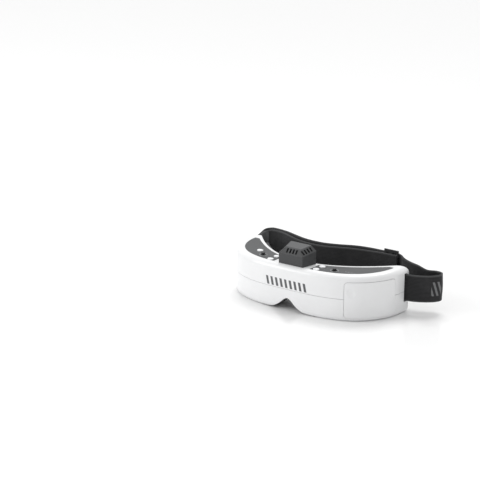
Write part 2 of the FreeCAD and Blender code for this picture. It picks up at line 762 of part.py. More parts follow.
def cowl_solid(wall, low, corner):
    shoulder = top_z + c.cowl_block_height
    crown = shoulder + c.cowl_slope_height - wall
    lower_part = Part.makeLoft([cowl_plan(wall, low), cowl_plan(wall, shoulder)], True, True)
    share = (crown - shoulder) / c.cowl_slope_height
    crown_plan = cowl_plan(wall, crown, c.cowl_slope_run * share, c.cowl_side_run * share)
    upper_part = Part.makeLoft([cowl_plan(wall, shoulder), crown_plan], True, True)
    solid = lower_part.fuse(upper_part).removeSplitter()
    if not corner:
        return solid
    edges = [edge for edge in solid.Edges if edge.BoundBox.ZMax > low + 1]
    return solid.makeFillet(corner, edges)


cowl = cowl_solid(0.0, top_z, 0.7).cut(cowl_solid(c.cowl_wall, top_z - 1, 0))
shoulder_z = top_z + c.cowl_block_height
crown_z = shoulder_z + c.cowl_slope_height


def louvres(count, shoulder, crown, along):
    """Slot cutters set across a sloping band, from its shoulder line to its crown line."""
    up = (crown - shoulder).normalize()
    out = along.cross(up).normalize()
    spin = FreeCAD.Rotation(along, up, out, "XYZ")
    centre = (crown + shoulder) * 0.5
    half, reach = c.louvre_width / 2, c.louvre_length / 2
    for number in range(count):
        shift = (number - (count - 1) / 2) * c.louvre_pitch
        slot = block((-half, -reach, -3), (half, reach, 3))
        slot.Placement = FreeCAD.Placement(centre + along * shift, spin)
        yield slot


front_low = V(0, c.cowl_front_y, shoulder_z)
front_high = V(0, c.cowl_front_y + c.cowl_slope_run, crown_z + cowl_rise(c.cowl_front_y + c.cowl_slope_run))
for slot in louvres(4, front_low, front_high, V(1, 0, 0)):
    cowl = cowl.cut(slot)
for side in SIDES.values():
    mid_y = fan_y - 0.4
    mid_half = (c.cowl_front_half + c.cowl_rear_half) / 2
    widening = c.cowl_rear_half - c.cowl_front_half
    flare = V(side * widening, c.cowl_depth, c.cowl_tilt * c.cowl_depth).normalize()
    side_low = V(side * mid_half, mid_y, shoulder_z + cowl_rise(mid_y))
    side_high = V(side * (mid_half - c.cowl_side_run), mid_y, crown_z + cowl_rise(mid_y))
    for slot in louvres(4, side_low, side_high, flare * side):
        cowl = cowl.cut(slot)
finish("vent_cowl", cowl)

fan_low = top_z + 0.1
fan_body = new_body("fan_frame", (0, fan_y, fan_low))
pad(fan_body, "fan_block", lambda sketch: rectangle(sketch, "Sizes.fan_size", "Sizes.fan_size"),
    "Sizes.fan_height")
bore_sketch = new_sketch(fan_body, "fan_bore_outline")
circle(bore_sketch, "Sizes.fan_bore_radius")
fan_bore = fan_body.newObject("PartDesign::Pocket", "fan_bore")
fan_bore.Profile = bore_sketch
fan_bore.Type = "ThroughAll"
fan_bore.Reversed = True
blade_low, blade_high, blade_count = 1.2, c.fan_height - 0.4, 7
rotor = rod(c.fan_hub_radius, (0, 0, blade_low), blade_high - blade_low)
spider_height, axle_radius, axle_gap = 0.7, 0.6, 0.06
blade_tall, blade_half = blade_high - blade_low, 0.35
for number in range(blade_count):
    blade = block((c.fan_hub_radius - 0.4, -blade_half, 0), (c.fan_rotor_radius, blade_half, blade_tall - 0.2))
    blade.rotate(V(c.fan_hub_radius, 0, blade_tall / 2), V(1, 0, 0), 24)
    blade = blade.common(rod(c.fan_rotor_radius, (0, 0, 0.1), blade_tall - 0.3))
    blade.translate(V(0, 0, blade_low))
    blade.rotate(V(0, 0, 0), V(0, 0, 1), 360 * number / blade_count)
    rotor = rotor.fuse(blade)
rotor = rotor.cut(rod(axle_radius + axle_gap, (0, 0, 0), blade_high - 0.6))
spider = rod(c.fan_hub_radius, (0, 0, 0), spider_height)
for angle in (0, 60, 120):
    arm = block((-c.fan_bore_radius - 1, -0.5, 0), (c.fan_bore_radius + 1, 0.5, spider_height))
    arm.rotate(V(0, 0, 0), V(0, 0, 1), angle)
    spider = spider.fuse(arm)
spider = spider.common(rod(c.fan_bore_radius, (0, 0, 0), spider_height))
finish("fan_rotor", rotor.removeSplitter(), (0, fan_y, fan_low))
finish("fan_spider", spider, (0, fan_y, fan_low))
axle = rod(axle_radius, (0, 0, spider_height), blade_high - 0.9 - spider_height)
finish("fan_axle", axle, (0, fan_y, fan_low))

# ------------------------------------------------------------------ buttons and navigation sticks
button_low = board_top + c.button_travel + 0.1
for name, side in SIDES.items():
    for place, (x, y) in button_spots(side).items():
        label = f"button_{name}_{place}"
        body = new_body(label, (x, y, 0))
        rise = f"{button_low}"
        pad(body, f"{label}_flange",
            lambda sketch: oval(sketch, "Sizes.button_length + 1.2", "Sizes.button_width + 1.2"),
            "Sizes.button_flange", start=rise)
        top = pad(body, f"{label}_cap",
                  lambda sketch: oval(sketch, "Sizes.button_length", "Sizes.button_width"),
                  f"{panel_top - button_low} + Sizes.button_rise", start=rise)
        doc.recompute()
        cap = body.Shape
        crown = panel_top + c.button_rise
        rim = [f"Edge{i + 1}" for i, edge in enumerate(cap.Edges) if abs(edge.BoundBox.ZMin - crown) < 1e-4]
        soft = body.newObject("PartDesign::Fillet", f"{label}_round")
        soft.Base = (top, rim)
        soft.Radius = 0.5

nav_pivot = ceiling - 0.1
ring_height = 1.0
for name, side in SIDES.items():
    spot = (side * c.nav_x, c.nav_y)
    inner = c.nav_radius + 0.15
    finish(f"nav_gimbal_{name}", rod(3.7, (*spot, nav_pivot - ring_height / 2), ring_height)
           .cut(rod(2.85, (*spot, nav_pivot - 1), 2)))
    finish(f"nav_rocker_{name}", rod(2.5, (*spot, nav_pivot - ring_height / 2), ring_height)
           .cut(rod(inner, (*spot, nav_pivot - 1), 2)))
    stem_low = board_top + c.nav_travel + 0.15
    cap_low = panel_top + c.nav_travel + 0.45
    cap_top = cap_low + 1.2
    stick = rod(c.nav_radius, (*spot, stem_low), cap_low - stem_low + 0.2)
    cap = rod(c.nav_cap_radius, (*spot, cap_low), cap_top - cap_low)
    cap = cap.makeFillet(0.35, [edge for edge in cap.Edges if abs(edge.BoundBox.ZMin - cap_top) < 1e-6])
    finish(f"nav_stick_{name}", stick.fuse(cap))

# ------------------------------------------------------------------ optics, one set for each eye
for name, side in SIDES.items():
    x = side * eye_x
    half = c.optic_width / 2
    optic_back = c.optic_front + c.optic_depth
    holder = block((x - half, c.optic_front, c.optic_bottom), (x + half, optic_back, c.optic_top))
    barrel_start = optic_back - 0.5
    barrel_end = optic_back + c.barrel_length
    barrel = rod(c.barrel_radius, (x, barrel_start, c.eye_height), barrel_end - barrel_start, (0, 1, 0))
    holder = holder.fuse(barrel)
    inner = c.barrel_radius - c.barrel_wall
    holder = holder.cut(rod(inner, (x, c.optic_front + 3, c.eye_height), barrel_end, (0, 1, 0)))
    window = block((x - c.display_width / 2, c.optic_front - 1, c.eye_height - c.display_height / 2),
                   (x + c.display_width / 2, c.optic_front + 4, c.eye_height + c.display_height / 2))
    holder = holder.cut(window)
    for y in (c.rail_front_y, c.rail_rear_y):
        start = (x - half - 1, y, c.rail_height)
        holder = holder.cut(rod(c.rail_radius + c.rail_gap, start, c.optic_width + 2, (1, 0, 0)))
    finish(f"optic_holder_{name}", holder)
    bound("Part::Box", f"display_{name}",
          (x - c.display_width / 2, c.optic_front, c.eye_height - c.display_height / 2),
          Length="Sizes.display_width", Width="Sizes.display_thickness", Height="Sizes.display_height")
    bound("Part::Box", f"display_board_{name}",
          (x - half + 1.5, c.optic_front - c.board_thickness, c.eye_height - 9.0),
          Length="Sizes.optic_width - 3", Width="Sizes.board_thickness", Height="18")
    ring_base = (x, barrel_end - c.retainer_length, c.eye_height)
    lens_body = bound("Part::Cylinder", f"lens_body_{name}", ring_base, (0, -1, 0),
                      Radius="Sizes.barrel_radius - Sizes.barrel_wall", Height="Sizes.lens_thickness")
    dome = bound("Part::Sphere", f"lens_dome_{name}", (x, ring_base[1] - 24.0, c.eye_height), Radius="24")
    lens = doc.addObject("Part::MultiCommon", f"lens_{name}")
    lens.Shapes = [lens_body, dome]
    lens.Label = f"lens_{name}"
    ring = bound("Part::Cylinder", f"ring_{name}", ring_base, (0, 1, 0),
                 Radius="Sizes.barrel_radius - Sizes.barrel_wall", Height="Sizes.retainer_length")
    ring_hole = bound("Part::Cylinder", f"ring_hole_{name}", (x, ring_base[1] - 1, c.eye_height), (0, 1, 0),
                      Radius="Sizes.barrel_radius - Sizes.barrel_wall - 1",
                      Height="Sizes.retainer_length + 2")
    cut(f"lens_retainer_{name}", ring, ring_hole)
    knob = block((x - c.knob_length / 2, optic_middle - c.knob_width / 2, knob_low),
                 (x + c.knob_length / 2, optic_middle + c.knob_width / 2, c.optic_bottom))
    for shift in (-2.2, 0, 2.2):
        groove = block((x + shift - 0.5, optic_middle - c.knob_width, knob_low - 1),
                       (x + shift + 0.5, optic_middle + c.knob_width, knob_low + 0.6))
        knob = knob.cut(groove)
    finish(f"eye_slider_{name}", knob)

for place, y in (("front", c.rail_front_y), ("rear", c.rail_rear_y)):
    bound("Part::Cylinder", f"optic_rail_{place}", (-rail_reach, y, c.rail_height), (1, 0, 0),
          Radius="Sizes.rail_radius", Height=f"{2 * rail_reach}")

board_body = new_body("main_board", (0, c.pcb_front + c.pcb_thickness, (c.pcb_bottom + c.pcb_top) / 2))
pad(board_body, "main_board_blank",
    lambda sketch: rectangle(sketch, "2 * Sizes.pcb_half_width", "Sizes.pcb_top - Sizes.pcb_bottom"),
    "Sizes.pcb_thickness", "XZ_Plane")

# ------------------------------------------------------------------ face plate and foam
plate_room = hollow(c.wall + c.plate_gap, c.wall + c.plate_gap, ceiling - c.plate_gap)
plate = rim_strip(-c.plate_inset - c.plate_thickness, -c.plate_inset, c.plate_half_width, 0, top_z)
plate = plate.common(plate_room)
foam = rim_strip(-c.plate_inset + 0.1, c.foam_thickness, c.foam_half_width, c.foam_bottom, c.foam_top)
foam = foam.cut(nose_bell(0.0, c.foam_nose, 1.15))
for name, side in SIDES.items():
    x = side * eye_x
    reach = c.barrel_radius + c.eye_travel + 0.8
    window = oval_prism(2 * reach, 2 * (c.barrel_radius + 0.8), 0, 0, 0, 60)
    window.rotate(V(0, 0, 0), V(1, 0, 0), -90)
    window.translate(V(x, 10, c.eye_height))
    plate = plate.cut(window)
    inner_x, outer_x = side * 11.0, side * (c.foam_half_width - 11)
    near, far = sorted((inner_x, outer_x))
    eye_hole = rounded_slab(far - near, c.foam_top - c.foam_bottom - 2 * c.foam_border, 100, 7.0)
    eye_hole.rotate(V(0, 0, 0), V(0, 0, 1), 90)
    eye_hole.translate(V((near + far) / 2, 0, (c.foam_top + c.foam_bottom) / 2 + 0.8))
    foam = foam.cut(eye_hole)
    anchor_cut = rod(pocket_radius + 0.6, (side * c.strap_bar_x, c.strap_bar_y, 0), top_z)
    plate = plate.cut(anchor_cut)
groove_start = (-rail_reach, c.rail_rear_y, c.rail_height)
rail_groove = rod(c.rail_radius + c.plate_gap, groove_start, 2 * rail_reach, (1, 0, 0))
finish("face_plate", plate.cut(rail_groove))
finish("face_foam", foam)


# ------------------------------------------------------------------ strap
def band(stations, joins=()):
    """A flat band on edge through stations (x, y, height of its lower edge), in runs between the joins."""
    path = Part.BSplineCurve()
    path.interpolate([V(x, y, 0) for x, y, _ in stations])
    sections = []
    for x, y, lower_edge in stations:
        along = path.tangent(path.parameter(V(x, y, 0)))[0]
        across = V(-along.y, along.x, 0).normalize() * (c.strap_thickness / 2)
        base = V(x, y, lower_edge)
        up = V(0, 0, c.strap_width)
        sections.append(polygon([base - across, base + across, base + across + up, base - across + up]))
    ends = [0, *joins, len(sections) - 1]
    runs = [Part.makeLoft(sections[first:last + 1], True, False) for first, last in zip(ends, ends[1:])]
    return runs[0].fuse(runs[1:]) if joins else runs[0]


def strap_eye(side):
    """The strap's loop round its bar."""
    centre = (side * c.strap_bar_x, c.strap_bar_y, c.strap_low)
    bore = rod(c.strap_bar_radius + c.strap_gap, centre, c.strap_width)
    return rod(eye_radius, centre, c.strap_width).cut(bore)


low = c.strap_low
far_low = low + 9.6                # the far side of the loop rides higher than the slots
slider_x, slider_y = 57.0, 82.8
joint_x = slider_x + 6.5
eye_end = c.strap_bar_x + eye_radius + 0.02
right_run = [(eye_end, c.strap_bar_y, low), (91.5, 62.6, low), (101.0, 66.8, low + 0.2),
             (108.6, 72.6, low + 0.4), (112.0, 78.6, low + 0.6), (110.0, 83.4, low + 0.8),
             (104.4, 84.0, low + 1.0), (96.5, 80.2, low + 1.4), (88.8, 78.4, low + 4.6),
             (80.6, 78.8, low + 6.2), (72.3, 81.2, low + 7.6), (67.5, 84.0, low + 8.8),
             (joint_x + 0.1, 85.0, far_low)]
outer_layer = [(joint_x, 85.0, far_low), (52.0, 84.8, far_low + 0.2), (36.0, 82.8, far_low + 0.4),
               (19.0, 79.0, far_low + 0.4), (4.0, 74.8, far_low + 0.2), (-12.0, 71.6, far_low),
               (-30.0, 71.8, far_low), (-45.0, 75.0, far_low), (-60.0, 80.4, far_low),
               (-72.0, 84.2, far_low - 0.4), (-80.5, 85.0, far_low - 1.0), (-86.2, 82.0, far_low - 2.6),
               (-90.2, 77.0, low + 2.0), (-90.9, 71.0, low + 0.4), (-90.3, 65.4, low),
               (-88.0, 61.6, low), (-eye_end, c.strap_bar_y - 0.9, low)]
inner_layer = [(slider_x + 6.8, 81.3, far_low - 1.0), (slider_x, 81.2, far_low - 1.0),
               (48.0, 80.8, far_low - 1.0), (36.0, 79.0, far_low - 1.0), (19.0, 74.8, far_low - 1.2),
               (4.0, 70.4, far_low - 1.5), (-12.0, 67.4, far_low - 1.8), (-30.0, 67.8, far_low - 1.8),
               (-45.0, 71.2, far_low - 1.6), (-60.0, 77.0, far_low - 1.4),
               (-71.0, 80.8, far_low - 1.6), (-79.0, 81.6, far_low - 2.2),
               (-84.6, 79.2, far_low - 4.0), (-87.9, 75.2, low + 2.0), (-88.4, 70.2, low + 0.4),
               (-87.9, 65.6, low), (-86.4, 62.9, low), (-eye_end - 0.5, 62.2, low)]
finish("strap_right_run", band(right_run, joins=(2, 4, 6)))
finish("strap_outer_layer", band(outer_layer))
for name, side in SIDES.items():
    finish(f"strap_eye_{name}", strap_eye(side))
finish("strap_inner_layer", band(inner_layer))

# a three-bar slider on edge: the strap runs behind it and its doubled end in front
slider_rise = c.strap_gap + c.slider_bar
slider_low = far_low - slider_rise
frame = bound("Part::Box", "slider_frame", (slider_x - c.slider_length / 2, slider_y - 0.7, slider_low),
              Length="Sizes.slider_length", Width="Sizes.strap_thickness",
              Height="Sizes.strap_width + 2 * Sizes.strap_gap + 2 * Sizes.slider_bar")
windows = []
for place, near in (("left", c.slider_bar - c.slider_length / 2), ("right", c.slider_bar / 2)):
    windows.append(bound("Part::Box", f"slider_window_{place}",
                         (slider_x + near, slider_y - 2, slider_low + c.slider_bar),
                         Length="Sizes.slider_length / 2 - Sizes.slider_bar * 1.5", Width="4",
                         Height="Sizes.strap_width + 2 * Sizes.strap_gap"))
cut("strap_slider", frame, *windows)
for name, side in SIDES.items():
    bound("Part::Cylinder", f"strap_bar_{name}", (side * c.strap_bar_x, c.strap_bar_y, bar_low),
          Radius="Sizes.strap_bar_radius", Height=f"{bar_high - bar_low}")

# ------------------------------------------------------------------ screws and buzzer
head_height, socket_depth = 2.0, 1.1
hexagon = [(math.cos(math.pi / 3 * corner), math.sin(math.pi / 3 * corner)) for corner in range(6)]
screws = []
for x, y in screw_spots:
    shank = rod(c.screw_radius, (x, y, screw_seat - 0.1), c.screw_length)
    head_low = screw_seat - head_height
    head = rod(c.screw_head_radius, (x, y, head_low), head_height)
    socket = Part.Face(polygon([V(x + over, y + back, head_low) for over, back in hexagon]))
    screws.append(head.fuse(shank).cut(socket.extrude(V(0, 0, socket_depth))))
finish("shell_screws", Part.makeCompound(screws))
bound("Part::Cylinder", "buzzer", (0, c.pcb_front + c.pcb_thickness, 22.5), (0, 1, 0),
      Radius="4.5", Height="2.8")

# ------------------------------------------------------------------ check and write
doc.recompute()
outputs = [item for item in doc.Objects
           if hasattr(item, "Shape") and not item.InList and item.TypeId != "Sketcher::SketchObject"]
for item in doc.Objects:
    if any(word in ("Invalid", "Error") for word in item.State):
        raise RuntimeError(f"{item.Label}: {item.State}")
os.makedirs("parts", exist_ok=True)
for item in outputs:
    if item.Shape.isNull() or not item.Shape.isValid():
        raise RuntimeError(f"{item.Label} has no valid shape")
for item in outputs:
    item.Shape.exportStep(f"parts/{item.Label}.step")
print(len(outputs), "sub-parts")
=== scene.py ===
"""Looks of a pair of FPV goggles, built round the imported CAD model."""

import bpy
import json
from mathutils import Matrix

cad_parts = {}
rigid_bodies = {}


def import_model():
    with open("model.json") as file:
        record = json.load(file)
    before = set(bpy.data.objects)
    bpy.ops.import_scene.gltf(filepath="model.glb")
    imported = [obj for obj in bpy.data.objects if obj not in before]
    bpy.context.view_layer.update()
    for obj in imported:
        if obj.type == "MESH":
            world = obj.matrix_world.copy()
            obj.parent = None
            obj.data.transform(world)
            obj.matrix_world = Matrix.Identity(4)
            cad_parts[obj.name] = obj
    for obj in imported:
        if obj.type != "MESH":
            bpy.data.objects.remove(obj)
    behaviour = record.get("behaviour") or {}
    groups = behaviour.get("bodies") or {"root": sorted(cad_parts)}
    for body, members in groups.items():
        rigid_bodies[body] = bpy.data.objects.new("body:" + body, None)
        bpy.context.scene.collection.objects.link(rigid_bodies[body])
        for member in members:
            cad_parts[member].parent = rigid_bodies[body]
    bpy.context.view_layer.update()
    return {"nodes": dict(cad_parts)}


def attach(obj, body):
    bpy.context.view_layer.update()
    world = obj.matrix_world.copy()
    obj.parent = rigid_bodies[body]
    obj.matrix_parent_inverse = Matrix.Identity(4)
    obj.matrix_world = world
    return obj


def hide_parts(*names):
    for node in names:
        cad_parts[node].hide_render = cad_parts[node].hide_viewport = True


bl_info = {
    "name": "FPV Goggles Looks",
    "version": (1, 0, 0),
    "blender": (4, 5, 0),
    "location": "3D View > Sidebar > Goggles",
    "description": "Materials, woven head strap, face foam and studio for a pair of FPV goggles",
    "category": "Object",
}

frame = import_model()

import json
import math

import bpy
import numpy as np
from mathutils import Vector

MM = 0.001
ROOT = "goggles"


# ------------------------------------------------------------------ settings
def colour(name, description, default):
    return bpy.props.FloatVectorProperty(
        name=name, description=description, subtype="COLOR", size=3, min=0, max=1, default=default)


def length(name, description, default):
    return bpy.props.FloatProperty(
        name=name, description=description, unit="LENGTH", min=0, precision=4, default=default)


def amount(name, description, default, high=1.0):
    return bpy.props.FloatProperty(name=name, description=description, min=0, max=high, default=default)


class GogglesCasingSettings(bpy.types.PropertyGroup):
    """Colours and print of the moulded parts."""
    shell: colour("Shell", "White moulded shells and bay cover", (0.80, 0.804, 0.81))
    shell_roughness: amount("Shell roughness", "Satin gloss of the shells", 0.30)
    panel: colour("Panel", "Dark grey top panels", (0.050, 0.052, 0.054))
    cowl: colour("Cowl", "Dark grey vent cowl", (0.042, 0.043, 0.045))
    button: colour("Button", "White button caps", (0.86, 0.87, 0.88))
    ink: colour("Ink", "Grey ink of the front mark", (0.075, 0.078, 0.082))
    mark_height: length("Mark height", "Height of the printed bars on the front", 7.8 * MM)
    mark_width: length("Mark width", "Width of the row of printed bars", 46 * MM)


class GogglesStrapSettings(bpy.types.PropertyGroup):
    """Sizes and colours of the woven strap and the face foam."""
    width: length("Width", "Width of the webbing", 25 * MM)
    thickness: length("Thickness", "Thickness of the webbing", 1.4 * MM)
    rib: length("Rib", "Distance between the lengthwise ribs", 1.25 * MM)
    pick: length("Pick", "Distance between the crosswise threads", 0.85 * MM)
    wave: length("Wave", "Height of the slack waves", 0.35 * MM)
    thread: colour("Thread", "Black webbing thread", (0.020, 0.020, 0.021))
    # this grey paints the highlight along the strap edges and also the lighter fuzz
    edge_thread: colour("Edge thread", "Greyer thread of the selvedges", (0.085, 0.086, 0.088))
    foam: colour("Foam", "Charcoal fabric on the face foam", (0.030, 0.030, 0.032))
    swell: length("Swell", "How far the foam may crown", 0.9 * MM)
    foam_cell: length("Foam cell", "Size of the even cells the foam is remade in", 1.5 * MM)


class GogglesStageSettings(bpy.types.PropertyGroup):
    """Studio floor, lights and camera."""
    floor_size: length("Floor size", "Side of the floor", 8.0)
    floor: colour("Floor", "Pale floor", (0.88, 0.88, 0.88))
    key: amount("Key light", "Strength of the soft light from above and behind", 1.5, 20)
    fill_power: amount("Fill power", "Power of the large light from the front left, in watts", 13.0, 500)
    room: amount("Room light", "Strength of the white surroundings", 0.78, 10)
    distance: length("Distance", "From the camera to the top of the front face", 1.4)
    lens: bpy.props.FloatProperty(name="Lens", description="Focal length", unit="CAMERA", default=117.6)


SETTINGS = {"goggles_casing": GogglesCasingSettings, "goggles_strap": GogglesStrapSettings,
            "goggles_stage": GogglesStageSettings}


# ------------------------------------------------------------------ shader values
class Value:
    """A number or colour that varies over a surface; arithmetic on it adds Math nodes."""

    def __init__(self, finish, node, output=0):
        self.finish, self.node, self.socket = finish, node, node.outputs[output]

    def output(self, name):
        return Value(self.finish, self.node, name)

    def maths(self, operation, *others):
        return self.finish.node("ShaderNodeMath", {"operation": operation}, dict(enumerate((self, *others))))

    def __rtruediv__(self, other):
        return self.reflected("DIVIDE", other)

    def reflected(self, operation, other):
        return self.finish.node("ShaderNodeMath", {"operation": operation}, {0: other, 1: self})

    def __add__(self, other):
        return self.maths("ADD", other)

    __radd__ = __add__

    def __sub__(self, other):
        return self.maths("SUBTRACT", other)

    def __rsub__(self, other):
        return self.reflected("SUBTRACT", other)

    def __mul__(self, other):
        return self.maths("MULTIPLY", other)

    __rmul__ = __mul__

    def __truediv__(self, other):
        return self.maths("DIVIDE", other)

    def __abs__(self):
        return self.maths("ABSOLUTE")

    def fraction(self):
        return self.maths("FRACT")

    def sine(self):
        return self.maths("SINE")

    def larger(self, other):
        return self.maths("MAXIMUM", other)

    def smaller(self, other):
        return self.maths("MINIMUM", other)

    def rise(self, low, high):
        """0 below low and 1 above high, smooth between."""
        return self.finish.node("ShaderNodeMapRange", {"interpolation_type": "SMOOTHSTEP"},
                                {"Value": self, "From Min": low, "From Max": high})

    def fall(self, low, high):
        return 1 - self.rise(low, high)

    def within(self, low, high, soft):
        """1 between low and high, with soft edges."""
        return self.rise(low - soft, low + soft) * self.fall(high - soft, high + soft)


class Finish:
    """A material being built: one method adds any node, the others wire up the shader."""

    def __init__(self, name, **constants):
        self.material = bpy.data.materials.new(name)
        self.material.use_nodes = True
        self.tree = self.material.node_tree
        self.shader = self.tree.nodes["Principled BSDF"]
        for label, value in constants.items():
            self.feed(label.replace("_", " "), value)

    def node(self, kind, settings=(), inputs=()):
        made = self.tree.nodes.new(kind)
        for label, value in dict(settings).items():
            if label == "stops":
                ramp = made.color_ramp
                for (place, shade), stop in zip(value, [ramp.elements[0], ramp.elements[1]] + [
                        ramp.elements.new(0.5) for _ in value[2:]]):
                    stop.position, stop.color = place, (*shade, 1)
            else:
                setattr(made, label, value)
        for label, value in dict(inputs).items():
            self.join(made.inputs[label], value)
        return Value(self, made)

    def join(self, socket, value):
        if isinstance(value, Value):
            self.tree.links.new(value.socket, socket)
        elif hasattr(value, "__len__") and len(value) == 3 and len(socket.default_value) == 4:
            socket.default_value = (*value, 1)
        else:
            socket.default_value = value

    def feed(self, label, value):
        self.join(self.shader.inputs[label], value)

    def place(self):
        """Object coordinates in metres, as a vector and as x, y and z."""
        vector = self.node("ShaderNodeTexCoord").output("Object")
        parts = self.node("ShaderNodeSeparateXYZ", (), {0: vector})
        return vector, parts, parts.output(1), parts.output(2)

    def noise(self, vector, scale, detail=2.0, roughness=0.5):
        return self.node("ShaderNodeTexNoise", {"normalize": True},
                         {"Vector": vector, "Scale": scale, "Detail": detail, "Roughness": roughness})

    def mix(self, factor, first, second):
        """Blends two colours by a factor."""
        blend = self.node("ShaderNodeMix", {"data_type": "RGBA"}, {0: factor, 6: first, 7: second})
        return blend.output(2)

    def scaled(self, vector, factors):
        return self.node("ShaderNodeVectorMath", {"operation": "MULTIPLY"}, {0: vector, 1: factors})

    def bump(self, height, distance, strength=1.0, under=None):
        inputs = {"Height": height, "Distance": distance, "Strength": strength}
        if under is not None:
            inputs["Normal"] = under
        return self.node("ShaderNodeBump", (), inputs)


def shade(base, factor):
    return tuple(min(1.0, part * factor) for part in base)


# ------------------------------------------------------------------ finishes
def moulded(name, base, roughness, grain, depth, coat=0.0):
    """Injection moulded plastic: fine grain, faint colour and gloss variation, rubbed patches."""
    finish = Finish(name, IOR=1.47, Coat_Weight=coat, Coat_Roughness=0.12)
    vector, *_ = finish.place()
    fine = finish.noise(vector, 1 / grain, 3.0, 0.6)
    cloudy = finish.noise(vector, 38.0, 4.0, 0.55)
    tone = cloudy.rise(0.35, 0.72)
    finish.feed("Base Color", finish.mix(tone, shade(base, 0.965), shade(base, 1.025)))
    finish.feed("Roughness", roughness + (cloudy - 0.5) * 0.10 + (fine - 0.5) * 0.06)
    finish.feed("Normal", finish.bump(fine, depth))
    return finish


def shell_finish(looks, name="shell_white", mark=False, notch=False):
    """Satin white plastic; mark prints slanted bars on the front, notch paints shade on the inner wall of the
    nose arch.
    """
    finish = Finish(name, IOR=1.48, Coat_Weight=0.25, Coat_Roughness=0.08)
    vector, x, y, z = finish.place()
    peel = finish.noise(vector, 900.0, 2.0, 0.5)
    sink = finish.noise(vector, 24.0, 2.0, 0.4)
    cloudy = finish.noise(vector, 55.0, 4.0, 0.6)
    base = finish.mix(cloudy.rise(0.3, 0.75), shade(looks.shell, 0.985), shade(looks.shell, 1.01))
    roughness = looks.shell_roughness + (cloudy - 0.5) * 0.08
    if mark:
        low = 21.7 * MM
        half = looks.mark_width / 2
        lean = x + (z - low) * 0.22
        step = ((lean + half) / looks.mark_width * 9).fraction()
        bar = step.rise(0.10, 0.14) * step.fall(0.60, 0.64)
        zone = z.within(low, low + looks.mark_height, 0.08 * MM) * lean.within(-half, half, 0.08 * MM)
        print_mask = bar * zone * y.fall(14 * MM, 15 * MM)
        base = finish.mix(print_mask, base, tuple(looks.ink))
        roughness = roughness + print_mask * 0.16
    if notch:
        # painted shade: the inner wall of the nose arch, behind the front lip, is darkened as if it lay in
        # shadow
        arch_height = arch_spread = 12.3 * MM
        share = x / arch_spread
        arch = 1 / (1 + share * share).maths("POWER", 1.5)
        depth = z - arch * arch_height
        painted_arch_shade = depth.within(-1.2 * MM, 0.25 * MM, 0.05 * MM) * y.rise(2.2 * MM, 2.4 * MM)
        painted_arch_shade = painted_arch_shade * abs(x).fall(29 * MM, 30 * MM)
        base = finish.mix(painted_arch_shade, base, (0.03, 0.03, 0.032))
        roughness = roughness + painted_arch_shade * 0.3
    finish.feed("Base Color", base)
    finish.feed("Roughness", roughness)
    finish.feed("Normal", finish.bump(peel, 0.006 * MM, 1.0, finish.bump(sink, 0.05 * MM)))
    return finish


def panel_finish(looks, side):
    """Fine textured dark plastic with small printed guides round the stick and the buttons."""
    finish = Finish(f"panel_grey_{'right' if side > 0 else 'left'}", IOR=1.46)
    vector, x, y, z = finish.place()
    grain = finish.node("ShaderNodeTexVoronoi", {"feature": "F1"}, {"Vector": vector, "Scale": 1900.0})
    fine = finish.noise(vector, 2600.0, 2.0, 0.6)
    cloudy = finish.noise(vector, 60.0, 3.0, 0.5)
    across, along = x * side - 39.5 * MM, y - 16.9 * MM
    reach = (across * across + along * along).maths("SQRT")
    cross = abs(across).smaller(abs(along))
    ring = reach.within(3.35 * MM, 3.65 * MM, 0.04 * MM) * cross.rise(0.8 * MM, 0.9 * MM)
    ticks = cross.fall(0.22 * MM, 0.3 * MM) * reach.within(3.1 * MM, 4.3 * MM, 0.05 * MM)
    marks = ring.larger(ticks)
    for spot_y in (8.9, 18.6):
        near = abs(x * side - 25.2 * MM)
        line = (y - (spot_y + 3.6) * MM).within(-0.14 * MM, 0.14 * MM, 0.04 * MM)
        marks = marks.larger(near.fall(1.4 * MM, 1.5 * MM) * line)
    row = (x * side / (3.2 * MM)).fraction()
    code = row.rise(0.08, 0.14) * row.fall(0.70, 0.76)
    legend = code * (x * side).within(49 * MM, 62 * MM, 0.1 * MM) * y.within(19.6 * MM, 20.1 * MM, 0.06 * MM)
    marks = marks.larger(legend if side > 0 else marks)
    base = finish.mix(cloudy.rise(0.3, 0.75), shade(looks.panel, 0.9), shade(looks.panel, 1.1))
    base = finish.mix(fine.rise(0.45, 0.8), base, shade(looks.panel, 1.35))
    finish.feed("Base Color", finish.mix(marks * 0.85, base, (0.42, 0.43, 0.44)))
    finish.feed("Roughness", 0.52 + (fine - 0.5) * 0.18 + (cloudy - 0.5) * 0.1)
    finish.feed("Normal", finish.bump(grain, 0.03 * MM, 0.6, finish.bump(fine, 0.02 * MM, 0.6)))
    return finish


def cowl_finish(looks):
    """Dark moulded cowl with spark-eroded texture; its top face is painted lighter as a highlight."""
    finish = Finish("cowl_grey", IOR=1.46)
    vector, x, y, z = finish.place()
    fine = finish.noise(vector, 2200.0, 3.0, 0.65)
    cloudy = finish.noise(vector, 70.0, 4.0, 0.6)
    # painted highlight: the top face is lightened where it faces the light from above
    top = (z - y * 0.15).rise(55.0 * MM, 55.5 * MM)
    base = finish.mix(cloudy.rise(0.3, 0.75), shade(looks.cowl, 0.88), shade(looks.cowl, 1.12))
    finish.feed("Base Color", finish.mix(top, base, shade(looks.cowl, 1.5)))
    finish.feed("Roughness", 0.50 + (fine - 0.5) * 0.2 + (cloudy - 0.5) * 0.1)
    finish.feed("Normal", finish.bump(fine, 0.035 * MM))
    return finish


